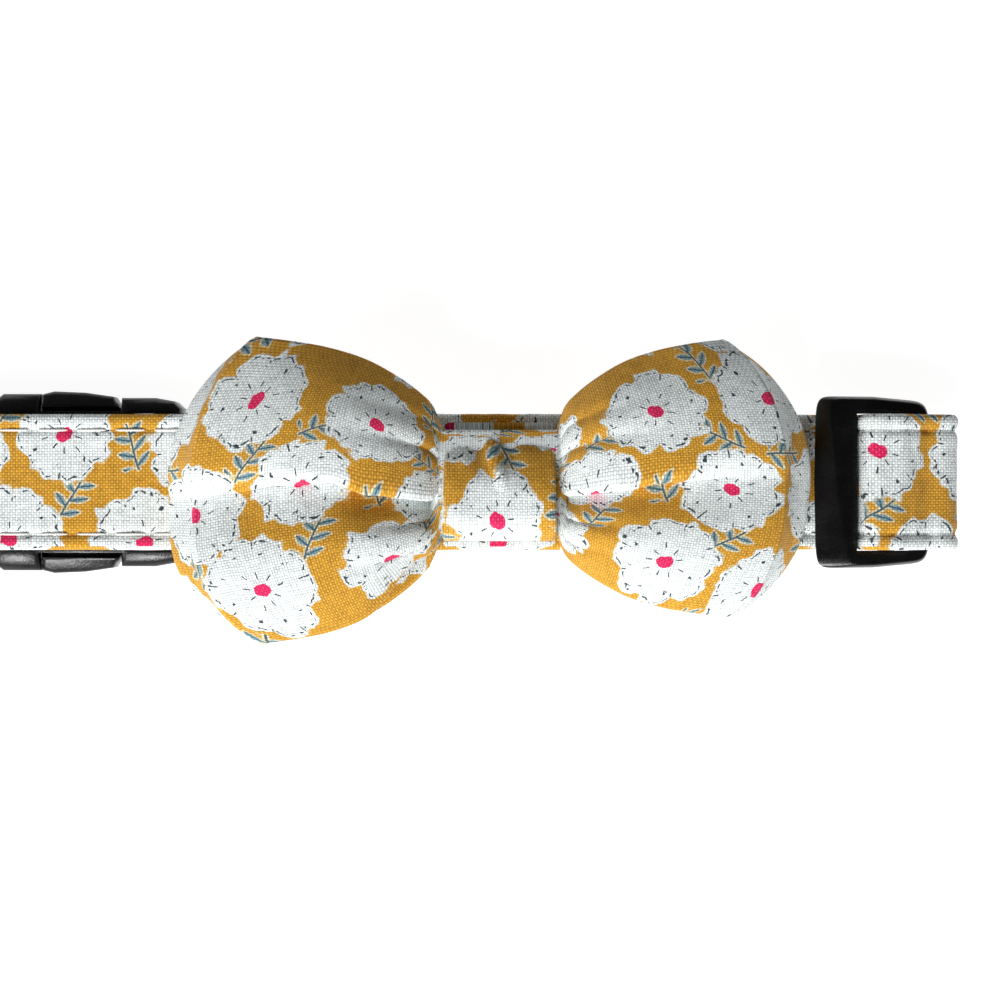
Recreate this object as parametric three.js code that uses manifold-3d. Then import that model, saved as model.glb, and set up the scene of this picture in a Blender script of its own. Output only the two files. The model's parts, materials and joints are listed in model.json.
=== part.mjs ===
// Pet bow tie collar, buckled closed and lying flat, in millimetres.
// +X runs along the collar, +Y across the strap and +Z up. The strap is one ribbon that makes the
// whole neck loop: its front layer lies over the buckle and carries the bow, and its back layers
// lie on the surface below. Places along X are first measured from the middle of the bow.
import * as THREE from "three";
import { mergeVertices } from "three/addons/utils/BufferGeometryUtils.js";
import Module from "manifold-3d";

const wasm = await Module();
wasm.setup();

// Clearance between pieces that touch
const gap = 0.3;

// Strap
const strapWidth = 20;
const strapThick = 1.4;
const bowToRightFold = 68.1;
const buckleToLeftFold = 16;
const sewnTailShare = 0.65; // of the way from the buckle to the left fold

// Slider: an outer bar that shows, a centre bar inside the sewn end, and a far bar
const sliderThick = 2.4;
const sliderNearBar = 5.7;
const sliderCentreBar = 2;
const sliderFarBar = 2.7;
const sliderRail = 2;
const sliderToFold = 4.3;
const sliderTiltDegrees = 8;
const slotSideRoom = 0.7; // beside the strap, in the slider and in the buckle

// Buckle
const buckleThick = 8.2;
const buckleToBow = 47;
const femaleLength = 27.6;
const maleBaseLength = 19;
const buckleWidth = 26.2;
const padProud = 0.4; // each pad past the buckle's side
const padLength = 11.4;
const padInset = 6.9; // from the mouth of the female half to the pad
const barThick = 2.4;
const barLength = 3;
const armWidth = 2.5;
const forkThick = 3;
const slotLength = 4;

// Bow
const clothWall = 1.5;
const wingRise = 13.4;
const knotLength = 16.4;
const knotWidth = 17.2;
const knotHeight = 9.4;
const knotWall = 1.3;
const leftWing = { crease: 44.4, cornerTop: 34.9, cornerBottom: 33.9, top: 20.4, bottom: 22.9, strip: 4.2 };
const rightWing = { crease: 40.9, cornerTop: 32.1, cornerBottom: 33.4, top: 20, bottom: 19.1, strip: 4 };

// Levels of the strap's middle, worked out from the floor up
const floorLevel = strapThick / 2;
const innerLevel = floorLevel + strapThick + gap;
const frontLevel = buckleThick + gap + strapThick / 2;
const bowBase = frontLevel + strapThick / 2 + gap;
const slotHalf = strapWidth / 2 + slotSideRoom;
const padWidth = buckleWidth + 2 * padProud;

// Places along the collar
const rightFold = bowToRightFold;
const femaleEnd = -buckleToBow;
const mouth = femaleEnd - femaleLength;
const maleFace = mouth - gap;
const maleEnd = maleFace - maleBaseLength;
const leftFold = maleEnd - buckleToLeftFold;

// The slider's own frame: u runs along it from its middle and w stands up from its plate.
const sliderNearSlot = 2 * strapThick + 3.4 * gap;
const sliderFarSlot = strapThick + 4.6 * gap;
const sliderLength = sliderNearBar + sliderNearSlot + sliderCentreBar + sliderFarSlot + sliderFarBar;
const sliderTilt = THREE.MathUtils.degToRad(sliderTiltDegrees);
const sliderMiddle = rightFold - sliderToFold - sliderLength / 2;
const strapUnder = sliderThick / 2 + gap + strapThick / 2;
const sliderLevel = innerLevel + strapThick + gap + strapUnder + (sliderLength / 2) * Math.sin(sliderTilt);
const nearSlotStart = sliderNearBar - sliderLength / 2;
const centreBarStart = nearSlotStart + sliderNearSlot;
const farSlotStart = centreBarStart + sliderCentreBar;

const cloth = new THREE.MeshStandardMaterial({ color: 0xe0a63a, roughness: 0.85, metalness: 0 });
const bandCloth = new THREE.MeshStandardMaterial({ color: 0xe6e4dd, roughness: 0.85, metalness: 0 });
const plastic = new THREE.MeshStandardMaterial({ color: 0x17181a, roughness: 0.5, metalness: 0 });

// Strap

function fromSlider(u, w) {
  const along = Math.cos(sliderTilt);
  const up = Math.sin(sliderTilt);
  return { x: sliderMiddle + u * along + w * up, z: sliderLevel - u * up + w * along };
}

// Corners of the strap's middle line, from the end sewn at the male half to the end sewn at the
// slider. Each has the radius that the strap turns with there.
function strapCorners() {
  const turn = strapThick + 2 * gap;
  const barTurn = strapThick / 2 + gap;
  const overBar = strapThick + gap + barThick + gap + strapThick / 2;
  const malePost = maleEnd + barLength + gap + strapThick / 2;
  const femalePost = femaleEnd - barLength - gap - strapThick / 2;
  const besideBar = 2.5 * strapThick;
  const frontTurn = (frontLevel - floorLevel) / 2;
  const sliderHalf = sliderLength / 2;
  const rise = centreBarStart - 2 * gap - 1.5 * strapThick;
  const wrap = centreBarStart - gap - strapThick / 2;
  const overCentre = strapUnder + strapThick + gap;
  const foldTop = fromSlider(sliderHalf, strapUnder).z - strapThick / 2;
  const innerTurn = rightFold - 1.5 * strapThick - gap;
  const innerTop = fromSlider(sliderHalf, -strapUnder).z;
  return [
    { x: maleEnd - sewnTailShare * buckleToLeftFold, z: innerLevel, r: 0 },
    { x: maleEnd - besideBar, z: innerLevel, r: turn },
    { x: maleEnd, z: overBar, r: turn },
    { x: malePost, z: overBar, r: barTurn },
    { x: malePost, z: floorLevel, r: barTurn },
    { x: leftFold + strapThick / 2, z: floorLevel, r: 0.98 * frontTurn },
    { x: leftFold + strapThick / 2, z: frontLevel, r: 0.98 * frontTurn },
    { x: sliderMiddle - 2.4 * sliderHalf, z: frontLevel, r: 8 * strapThick },
    { ...fromSlider(-sliderHalf - strapThick, -strapUnder), r: 4 * strapThick },
    { ...fromSlider(rise, -strapUnder), r: barTurn },
    { ...fromSlider(rise, overCentre), r: turn },
    { ...fromSlider(farSlotStart, overCentre), r: 2 * strapThick },
    { ...fromSlider(sliderHalf - strapThick, strapUnder), r: 2 * strapThick },
    { x: rightFold - strapThick / 2, z: foldTop, r: 2 * strapThick },
    { x: rightFold - strapThick / 2, z: floorLevel, r: 2 * strapThick },
    { x: femalePost, z: floorLevel, r: barTurn },
    { x: femalePost, z: overBar, r: barTurn },
    { x: femaleEnd, z: overBar, r: turn },
    { x: femaleEnd + besideBar, z: innerLevel, r: turn },
    { x: innerTurn, z: innerLevel, r: (0.98 * (innerTop - innerLevel)) / 2 },
    { x: innerTurn, z: innerTop, r: (0.98 * (innerTop - innerLevel)) / 2 },
    { ...fromSlider(sliderHalf, -strapUnder), r: strapThick },
    { ...fromSlider(wrap, -strapUnder), r: barTurn },
    { ...fromSlider(wrap, strapUnder), r: barTurn },
    { ...fromSlider(farSlotStart, strapUnder), r: strapThick },
    { ...fromSlider(farSlotStart + 0.6 * sliderFarSlot, strapUnder - strapThick / 2), r: 0 },
  ];
}

// The outline of a ribbon of even thickness along a line with rounded corners.
function ribbonOutline(corners, thick) {
  const arcStep = Math.PI / 9;
  const leftSide = [];
  const rightSide = [];
  const put = (x, z, dx, dz) => {
    leftSide.push(new THREE.Vector2(x - (dz * thick) / 2, z + (dx * thick) / 2));
    rightSide.push(new THREE.Vector2(x + (dz * thick) / 2, z - (dx * thick) / 2));
  };
  corners.forEach((corner, i) => {
    const before = corners[i - 1] ?? corner;
    const after = corners[i + 1] ?? corner;
    const inAngle = Math.atan2(corner.z - before.z, corner.x - before.x);
    const outAngle = Math.atan2(after.z - corner.z, after.x - corner.x);
    if (!corners[i - 1] || !corners[i + 1]) {
      const angle = corners[i + 1] ? outAngle : inAngle;
      put(corner.x, corner.z, Math.cos(angle), Math.sin(angle));
      return;
    }
    const bend = Math.atan2(Math.sin(outAngle - inAngle), Math.cos(outAngle - inAngle));
    const side = Math.sign(bend) || 1;
    const back = corner.r * Math.tan(Math.abs(bend) / 2);
    const centreX = corner.x - back * Math.cos(inAngle) - side * corner.r * Math.sin(inAngle);
    const centreZ = corner.z - back * Math.sin(inAngle) + side * corner.r * Math.cos(inAngle);
    const steps = Math.max(1, Math.ceil(Math.abs(bend) / arcStep));
    for (let k = 0; k <= steps; k++) {
      const angle = inAngle + (bend * k) / steps;
      const x = centreX + side * corner.r * Math.sin(angle);
      const z = centreZ - side * corner.r * Math.cos(angle);
      put(x, z, Math.cos(angle), Math.sin(angle));
    }
  });
  return [...leftSide, ...rightSide.reverse()];
}

function makeStrap() {
  const outline = new THREE.Shape(ribbonOutline(strapCorners(), strapThick));
  const geometry = new THREE.ExtrudeGeometry(outline, { depth: strapWidth, bevelEnabled: false });
  const across = new THREE.Matrix4().makeBasis(
    new THREE.Vector3(1, 0, 0),
    new THREE.Vector3(0, 0, 1),
    new THREE.Vector3(0, -1, 0),
  );
  geometry.applyMatrix4(across).translate(0, strapWidth / 2, 0);
  return named("collar_strap", geometry, cloth);
}

// Slider

function sliderOutline() {
  const halfLength = sliderLength / 2;
  const halfWidth = slotHalf + sliderRail;
  const corner = sliderRail;
  const farHalf = halfWidth - 0.35 * sliderRail;
  const bulge = 0.2 * sliderRail;
  const outline = new THREE.Shape();
  outline.moveTo(-halfLength + corner, -halfWidth);
  outline.quadraticCurveTo(0, -halfWidth, halfLength - corner, -farHalf);
  outline.quadraticCurveTo(halfLength, -farHalf + bulge, halfLength, -farHalf + corner);
  outline.lineTo(halfLength, farHalf - corner);
  outline.quadraticCurveTo(halfLength, farHalf - bulge, halfLength - corner, farHalf);
  outline.quadraticCurveTo(0, halfWidth, -halfLength + corner, halfWidth);
  outline.quadraticCurveTo(-halfLength + bulge, halfWidth, -halfLength + bulge, halfWidth - corner);
  outline.quadraticCurveTo(-halfLength - bulge, 0, -halfLength + bulge, -halfWidth + corner);
  outline.quadraticCurveTo(-halfLength + bulge, -halfWidth, -halfLength + corner, -halfWidth);
  return outline;
}

function makeSlider() {
  const plate = toSolid(roundedPlate(sliderOutline(), sliderThick, 0.12 * sliderThick, 4));
  const slots = [
    block([nearSlotStart, centreBarStart], [-slotHalf, slotHalf], [-1, sliderThick + 1]),
    block([farSlotStart, farSlotStart + sliderFarSlot], [-slotHalf, slotHalf], [-1, sliderThick + 1]),
  ];
  const geometry = toGeometry(cutAll(plate, slots)).translate(0, 0, -sliderThick / 2);
  const slider = named("slider", geometry, plastic);
  slider.position.set(sliderMiddle, 0, sliderLevel);
  slider.rotation.y = sliderTilt;
  return slider;
}

// Buckle

// Half of an outline given as [x, y] from one end to the other, closed by its mirror image.
function mirroredShape(halfPoints) {
  const upper = halfPoints.map(([x, y]) => new THREE.Vector2(x, y));
  const lower = halfPoints.map(([x, y]) => new THREE.Vector2(x, -y)).reverse();
  return new THREE.Shape([...lower, ...upper]);
}

// The strap's slot beside an end bar, and the room over and under that bar.
function strapRoom(barStart, barStop, slotStart, slotStop, outside) {
  const low = strapThick + gap;
  const high = low + barThick;
  const from = Math.min(barStart, barStop, slotStart, outside);
  const to = Math.max(barStart, barStop, slotStop, outside);
  return [
    block([slotStart, slotStop], [-slotHalf, slotHalf], [-1, buckleThick + 1]),
    block([from, to], [-slotHalf, slotHalf], [-1, low]),
    block([from, to], [-slotHalf, slotHalf], [high, buckleThick + 1]),
  ];
}

function makeFemaleHalf() {
  const half = buckleWidth / 2;
  const endHalf = half - 0.6;
  const plateHalf = padWidth / 2 - armWidth - gap;
  const window = [mouth + padInset - gap, mouth + padInset + padLength + gap];
  const outline = mirroredShape([
    [mouth, half - 0.8],
    [mouth + 1, half],
    [window[0], half],
    [window[0], plateHalf],
    [window[1], plateHalf],
    [window[1], endHalf],
    [femaleEnd - 4, endHalf],
    [femaleEnd - 1.2, endHalf - 0.5],
    [femaleEnd, endHalf - 1.6],
  ]);
  const body = toSolid(roundedPlate(outline, buckleThick, 0.9, 3));
  const socketLow = buckleThick / 2 - forkThick / 2 - gap;
  const socketHigh = buckleThick / 2 + forkThick / 2 + gap;
  const socket = block(
    [mouth - 1, window[1]],
    [-plateHalf - 1, plateHalf + 1],
    [socketLow, socketHigh],
  );
  const barStart = femaleEnd - barLength;
  const room = strapRoom(barStart, femaleEnd, barStart - slotLength, barStart, femaleEnd + 1);
  return named("buckle_female", toGeometry(cutAll(body, [socket, ...room])), plastic);
}

// A springy side arm with the thick pad that is pressed through the window.
function makeArm(side) {
  const inner = padWidth / 2 - 2 * armWidth - gap;
  const outer = padWidth / 2;
  const neck = buckleWidth / 2 - armWidth - 2 * gap;
  const start = mouth + padInset;
  const stop = start + padLength;
  const arm = new THREE.Shape([
    new THREE.Vector2(maleFace - 2, side * inner),
    new THREE.Vector2(stop, side * inner),
    new THREE.Vector2(stop, side * (outer - armWidth)),
    new THREE.Vector2(start, side * (outer - armWidth)),
    new THREE.Vector2(start, side * Math.min(neck, outer - armWidth)),
    new THREE.Vector2(maleFace - 2, side * Math.min(neck, outer - armWidth)),
  ]);
  const pad = new THREE.Shape([
    new THREE.Vector2(start, side * (outer - armWidth)),
    new THREE.Vector2(start, side * (outer - 0.4)),
    new THREE.Vector2(start + 1.6, side * outer),
    new THREE.Vector2(start + 0.55 * padLength, side * (outer - 0.2)),
    new THREE.Vector2(stop - 1, side * (outer - 0.8)),
    new THREE.Vector2(stop, side * (outer - armWidth)),
  ]);
  const low = (buckleThick - forkThick) / 2;
  const flat = new THREE.ExtrudeGeometry(arm, { depth: forkThick, bevelEnabled: false });
  const thick = roundedPlate(pad, buckleThick - 4 * gap, 0.5, 2).translate(0, 0, 2 * gap);
  return toSolid(flat.translate(0, 0, low)).add(toSolid(thick));
}

function makeMaleHalf() {
  const half = buckleWidth / 2;
  const outline = mirroredShape([
    [maleEnd, half - 2.2],
    [maleEnd + 1.2, half - 1.1],
    [maleEnd + 4, half - 0.6],
    [maleFace - 1, half],
    [maleFace, half - 0.8],
  ]);
  const body = toSolid(roundedPlate(outline, buckleThick, 0.9, 3));
  const barStop = maleEnd + barLength;
  const room = strapRoom(maleEnd, barStop, barStop, barStop + slotLength, maleEnd - 1);
  const guideEnd = mouth + padInset + 0.7 * padLength;
  const guideLow = (buckleThick - forkThick) / 2;
  const guide = block([maleFace - 1, guideEnd], [-1.6, 1.6], [guideLow, guideLow + forkThick]);
  const fork = [makeArm(1), makeArm(-1), guide].reduce((whole, piece) => whole.add(piece));
  return named("buckle_male", toGeometry(cutAll(body, room).add(fork)), plastic);
}

// Bow

// Stations of a wing, out along its front from the knot and back along its rear.
// along: share of the way from the knot to the crease; beyond: share of the side strip's width;
// spread: share of the way from the knot's width to the wing's; height: share of the wing's rise;
// fold: depth of the middle fold as a share of the rise; droop: how far the long edges come down,
// as a share of the height.
const wingStations = [
  { along: 0.06, beyond: 0, spread: 0.26, height: 0.7, fold: 0.3, droop: 0.25 },
  { along: 0.15, beyond: 0, spread: 0.43, height: 0.84, fold: 0.33, droop: 0.3 },
  { along: 0.28, beyond: 0, spread: 0.61, height: 0.95, fold: 0.27, droop: 0.3 },
  { along: 0.45, beyond: 0, spread: 0.79, height: 1, fold: 0.17, droop: 0.27 },
  { along: 0.64, beyond: 0, spread: 0.9, height: 0.98, fold: 0.1, droop: 0.24 },
  { along: 0.82, beyond: 0, spread: 0.96, height: 0.89, fold: 0.05, droop: 0.22 },
  { along: 0.95, beyond: 0, spread: 0.99, height: 0.76, fold: 0.03, droop: 0.2 },
  { along: 1, beyond: 0.1, spread: 1, height: 0.64, fold: 0.02, droop: 0.2 },
  { along: 1, beyond: 0.5, spread: 1, height: 0.5, fold: 0, droop: 0.16 },
  { along: 1, beyond: 0.88, spread: 0.99, height: 0.34, fold: 0, droop: 0.1 },
  { along: 1, beyond: 0.98, spread: 0.98, height: 0.19, fold: 0, droop: 0 },
  { along: 1, beyond: 0.7, spread: 0.97, height: 0.07, fold: 0, droop: 0 },
  { along: 0.9, beyond: 0, spread: 0.95, height: 0, fold: 0, droop: 0 },
  { along: 0.62, beyond: 0, spread: 0.86, height: 0, fold: 0, droop: 0 },
  { along: 0.32, beyond: 0, spread: 0.6, height: 0, fold: 0, droop: 0 },
  { along: 0.12, beyond: 0, spread: 0.3, height: 0.04, fold: 0, droop: 0 },
];

function wingPoint(wing, side, station, v) {
  const start = knotLength / 2 + gap;
  const corner = v > 0 ? wing.cornerTop : wing.cornerBottom;
  const creaseHere = corner + (wing.crease - corner) * Math.pow(1 - v * v, 0.75);
  const stripHere = wing.strip * station.beyond * Math.pow(1 - v * v, 0.6);
  const waist = waistHalf();
  const edge = v > 0 ? wing.top : wing.bottom;
  const spread = waist + (edge - waist) * station.spread;
  const foldHere = station.fold * Math.exp(-Math.pow((v + 0.06) / 0.26, 2));
  const share = station.height * (1 - station.droop * Math.pow(Math.abs(v), 2.4)) - foldHere;
  return new THREE.Vector3(
    side * (start + (creaseHere - start) * station.along + stripHere),
    v * spread,
    bowBase + clothWall / 2 + share * (wingRise - clothWall),
  );
}

function waistHalf() {
  return knotWidth / 2 - knotWall - gap;
}

// The cloth inside the knot, front or rear, at a place along the collar.
function waistPoint(x, front, v) {
  const inset = knotWall + gap + clothWall / 2;
  const room = knotHeight / 2 - inset;
  const edge = Math.pow(Math.abs(v), 2.4);
  const lift = front ? room : -room;
  const pinch = (room - 0.75 * clothWall) * edge * (front ? -1 : 1);
  const fold = front ? -0.3 * room * Math.exp(-Math.pow(v / 0.4, 2)) : 0;
  return new THREE.Vector3(x, v * waistHalf(), bowBase + knotHeight / 2 + lift + pinch + fold);
}

// One closed line of cloth at a place v across the bow, from -1 at its lower edge to 1.
function bowLine(v) {
  const inside = [knotLength / 4, knotLength / 2 + gap];
  const waist = (front, side) => inside.map((x) => waistPoint(side * x, front, v));
  const out = (wing, side) => wingStations.map((station) => wingPoint(wing, side, station, v));
  return [
    waistPoint(0, true, v),
    ...waist(true, -1),
    ...out(leftWing, -1),
    ...waist(false, -1).reverse(),
    waistPoint(0, false, v),
    ...waist(false, 1),
    ...out(rightWing, 1).reverse(),
    ...waist(true, 1).reverse(),
  ];
}

// A closed band of cloth from lines of its middle surface, with faces along its two open edges.
function clothBand(lines, wall) {
  const rows = lines.length;
  const around = lines[0].length;
  const shift = (row, i, sign) => {
    const next = lines[row][(i + 1) % around];
    const last = lines[row][(i + around - 1) % around];
    const upper = lines[Math.min(row + 1, rows - 1)][i];
    const lower = lines[Math.max(row - 1, 0)][i];
    const normal = next.clone().sub(last).cross(upper.clone().sub(lower)).normalize();
    return lines[row][i].clone().addScaledVector(normal, (sign * wall) / 2);
  };
  const vertices = [];
  for (const sign of [1, -1]) {
    for (let row = 0; row < rows; row++) {
      for (let i = 0; i < around; i++) vertices.push(...shift(row, i, sign).toArray());
    }
  }
  const at = (skin, row, i) => (skin * rows + row) * around + (i % around);
  const faces = [];
  const quad = (a, b, c, d) => faces.push(a, b, c, a, c, d);
  for (let i = 0; i < around; i++) {
    for (let row = 0; row < rows - 1; row++) {
      quad(at(0, row, i), at(0, row, i + 1), at(0, row + 1, i + 1), at(0, row + 1, i));
      quad(at(1, row, i), at(1, row + 1, i), at(1, row + 1, i + 1), at(1, row, i + 1));
    }
    quad(at(0, 0, i), at(1, 0, i), at(1, 0, i + 1), at(0, 0, i + 1));
    const top = rows - 1;
    quad(at(0, top, i), at(0, top, i + 1), at(1, top, i + 1), at(1, top, i));
  }
  const geometry = new THREE.BufferGeometry();
  geometry.setAttribute("position", new THREE.Float32BufferAttribute(vertices, 3));
  geometry.setIndex(faces);
  geometry.computeVertexNormals();
  return geometry;
}

function makeBowLoop() {
  const rows = 16;
  const perStation = 2;
  const lines = [];
  for (let row = 0; row <= rows; row++) {
    const stations = bowLine((2 * row) / rows - 1);
    const curve = new THREE.CatmullRomCurve3(stations, true, "centripetal");
    const count = stations.length * perStation;
    lines.push(Array.from({ length: count }, (_, i) => curve.getPoint(i / count)));
  }
  return named("bow_loop", clothBand(lines, clothWall), cloth);
}

function roundedBox(halfWidth, low, high, radius) {
  const ring = new THREE.Path();
  ring.moveTo(-halfWidth + radius, low);
  ring.lineTo(halfWidth - radius, low);
  ring.absarc(halfWidth - radius, low + radius, radius, -Math.PI / 2, 0);
  ring.lineTo(halfWidth, high - radius);
  ring.absarc(halfWidth - radius, high - radius, radius, 0, Math.PI / 2);
  ring.lineTo(-halfWidth + radius, high);
  ring.absarc(-halfWidth + radius, high - radius, radius, Math.PI / 2, Math.PI);
  ring.lineTo(-halfWidth, low + radius);
  ring.absarc(-halfWidth + radius, low + radius, radius, Math.PI, 1.5 * Math.PI);
  return ring;
}

function makeKnot() {
  const round = 0.3 * knotHeight;
  const low = bowBase;
  const high = bowBase + knotHeight;
  const outer = roundedBox(knotWidth / 2, low, high, round).getPoints(5);
  const inner = roundedBox(knotWidth / 2 - knotWall, low + knotWall, high - knotWall, round - knotWall);
  const band = new THREE.Shape(outer);
  band.holes.push(new THREE.Path(inner.getPoints(5)));
  const geometry = new THREE.ExtrudeGeometry(band, { depth: knotLength, bevelEnabled: false });
  const along = new THREE.Matrix4().makeBasis(
    new THREE.Vector3(0, 1, 0),
    new THREE.Vector3(0, 0, 1),
    new THREE.Vector3(1, 0, 0),
  );
  geometry.applyMatrix4(along).translate(-knotLength / 2, 0, 0);
  return named("bow_knot", geometry, bandCloth);
}

// Shared shapes

// A plate with rounded edges, standing on z = 0.
function roundedPlate(outline, thick, round, curveSegments) {
  return new THREE.ExtrudeGeometry(outline, {
    depth: thick - 2 * round,
    bevelEnabled: true,
    bevelThickness: round,
    bevelSize: round,
    bevelOffset: -round,
    bevelSegments: 2,
    curveSegments,
  }).translate(0, 0, round);
}

function block([x0, x1], [y0, y1], [z0, z1]) {
  const box = new THREE.BoxGeometry(x1 - x0, y1 - y0, z1 - z0);
  return toSolid(box.translate((x0 + x1) / 2, (y0 + y1) / 2, (z0 + z1) / 2));
}

function toSolid(geometry) {
  const bare = geometry.clone();
  bare.deleteAttribute("normal");
  bare.deleteAttribute("uv");
  const merged = mergeVertices(bare, 1e-4);
  return new wasm.Manifold(
    new wasm.Mesh({
      numProp: 3,
      vertProperties: merged.attributes.position.array,
      triVerts: new Uint32Array(merged.index.array),
    }),
  );
}

function toGeometry(solid) {
  const made = solid.getMesh();
  const geometry = new THREE.BufferGeometry();
  geometry.setAttribute("position", new THREE.BufferAttribute(made.vertProperties, 3));
  geometry.setIndex(new THREE.BufferAttribute(made.triVerts, 1));
  geometry.computeVertexNormals();
  return geometry;
}

function cutAll(solid, cutters) {
  return cutters.reduce((left, cutter) => left.subtract(cutter), solid);
}

function named(name, geometry, material) {
  const mesh = new THREE.Mesh(geometry, material);
  mesh.name = name;
  return mesh;
}

// The origin is the middle of the collar's footprint, on the surface it lies on.
const collar = new THREE.Group();
const placed = new THREE.Group();
placed.add(makeStrap(), makeSlider(), makeFemaleHalf(), makeMaleHalf(), makeBowLoop(), makeKnot());
const extent = new THREE.Box3().setFromObject(placed, true);
const middle = extent.getCenter(new THREE.Vector3());
placed.position.set(-middle.x, -middle.y, -extent.min.z);
collar.add(placed);

export default collar;
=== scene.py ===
import json
import math
from contextlib import contextmanager

import bmesh
import bpy
from mathutils import Matrix, Vector, noise

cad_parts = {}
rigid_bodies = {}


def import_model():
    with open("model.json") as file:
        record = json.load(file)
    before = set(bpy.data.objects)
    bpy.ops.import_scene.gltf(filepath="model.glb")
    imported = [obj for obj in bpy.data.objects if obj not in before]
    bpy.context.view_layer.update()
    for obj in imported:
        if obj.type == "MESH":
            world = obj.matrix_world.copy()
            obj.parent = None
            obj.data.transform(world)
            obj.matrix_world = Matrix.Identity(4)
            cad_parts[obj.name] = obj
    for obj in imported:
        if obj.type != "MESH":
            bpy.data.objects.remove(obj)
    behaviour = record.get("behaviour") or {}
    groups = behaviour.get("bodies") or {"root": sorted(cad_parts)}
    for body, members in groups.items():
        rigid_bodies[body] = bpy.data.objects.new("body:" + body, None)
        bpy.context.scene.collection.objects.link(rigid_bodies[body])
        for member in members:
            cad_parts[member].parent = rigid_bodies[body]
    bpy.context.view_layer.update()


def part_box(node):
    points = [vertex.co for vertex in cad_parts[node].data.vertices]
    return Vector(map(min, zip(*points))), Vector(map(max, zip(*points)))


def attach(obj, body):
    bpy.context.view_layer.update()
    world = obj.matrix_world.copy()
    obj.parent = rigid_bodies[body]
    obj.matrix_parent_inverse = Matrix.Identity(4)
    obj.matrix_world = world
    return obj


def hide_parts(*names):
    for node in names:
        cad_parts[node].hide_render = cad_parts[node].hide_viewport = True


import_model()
mm = 0.001

# Places taken from the frame, in millimetres
knotLow, knotHigh = [[v / mm for v in corner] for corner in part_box("bow_knot")]
strapLow, strapHigh = [[v / mm for v in corner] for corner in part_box("collar_strap")]
bowX = (knotLow[0] + knotHigh[0]) / 2
strapY = (strapLow[1] + strapHigh[1]) / 2
bowBase = knotLow[2]


# Shader maths: wraps a socket, so that an expression adds its own Math nodes
class Sock:
    def __init__(self, tree, out):
        self.tree = tree
        self.out = out

    def node(self, kind, settings=None, out=0, **inputs):  # s0, s1 and so on are inputs by number
        made = self.tree.nodes.new(kind)
        for name, value in (settings or {}).items():
            setattr(made, name, value)
        for key, value in inputs.items():
            socket = made.inputs[int(key[1:])] if key[1:].isdigit() else made.inputs[key.replace("_", " ")]
            if isinstance(value, Sock):
                self.tree.links.new(value.out, socket)
            else:
                socket.default_value = value
        return Sock(self.tree, made.outputs[out])

    def maths(self, operation, a, b=0.0):
        return self.node("ShaderNodeMath", {"operation": operation}, s0=a, s1=b)

    def __add__(self, other):
        return self.maths("ADD", self, other)

    def __radd__(self, other):
        return self.maths("ADD", other, self)

    def __sub__(self, other):
        return self.maths("SUBTRACT", self, other)

    def __rsub__(self, other):
        return self.maths("SUBTRACT", other, self)

    def __mul__(self, other):
        return self.maths("MULTIPLY", self, other)

    def __rmul__(self, other):
        return self.maths("MULTIPLY", other, self)

    def __truediv__(self, other):
        return self.maths("DIVIDE", self, other)

    def __rtruediv__(self, other):
        return self.maths("DIVIDE", other, self)

    def __pow__(self, other):
        return self.maths("POWER", self, other)

    def __lt__(self, other):
        return self.maths("LESS_THAN", self, other)

    def __gt__(self, other):
        return self.maths("GREATER_THAN", self, other)

    def __abs__(self):
        return self.maths("ABSOLUTE", self)

    def sin(self):
        return self.maths("SINE", self)

    def cos(self):
        return self.maths("COSINE", self)

    def least(self, other):
        return self.maths("MINIMUM", self, other)

    def most(self, other):
        return self.maths("MAXIMUM", self, other)

    def below(self, edge, soft):  # 1 where the value is under edge, with a soft border
        return self.node(
            "ShaderNodeMapRange", {"interpolation_type": "SMOOTHSTEP"},
            s0=self, s1=edge - soft, s2=edge + soft, s3=1.0, s4=0.0)

    def vector(self, operation, other=(0.0, 0.0, 0.0), third=(0.0, 0.0, 0.0), out=0, scale=None):
        inputs = {"s0": self, "s1": other, "s2": third}
        if scale is not None:
            inputs["Scale"] = scale
        return self.node("ShaderNodeVectorMath", {"operation": operation}, out, **inputs)

    def parts(self):  # x, y and z
        made = self.node("ShaderNodeSeparateXYZ", s0=self)
        return [Sock(self.tree, socket) for socket in made.out.node.outputs]

    def joined(self, y, z=0.0):
        return self.node("ShaderNodeCombineXYZ", s0=self, s1=y, s2=z)

    def plain(self, colour):  # one colour all over, which others are mixed into
        return self.node("ShaderNodeMix", {"data_type": "RGBA"}, 2, s0=0.0, s6=(*colour, 1), s7=(0, 0, 0, 1))

    def mixed(self, mask, colour):  # this colour, turned into the other where mask is 1
        return self.node("ShaderNodeMix", {"data_type": "RGBA"}, 2, s0=mask, s6=self, s7=(*colour, 1))

    def mixedVector(self, mask, other):
        return self.node("ShaderNodeMix", {"data_type": "VECTOR"}, 1, s0=mask, s4=self, s5=other)

    def noise(self, scale, detail=2.0, rough=0.5, size="3D"):
        return self.node("ShaderNodeTexNoise", {"noise_dimensions": size}, 0,
                         Vector=self, Scale=scale, Detail=detail, Roughness=rough)


def newMaterial(name, diffuse):
    made = bpy.data.materials.new(name)
    made.use_nodes = True
    made.diffuse_color = (*diffuse, 1)
    return made, Sock(made.node_tree, None)


def fillShader(material, inputs):  # links what varies and sets what is constant
    tree = material.node_tree
    for name, value in inputs.items():
        socket = tree.nodes["Principled BSDF"].inputs[name]
        if isinstance(value, Sock):
            tree.links.new(value.out, socket)
        else:
            socket.default_value = value
    return material


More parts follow.
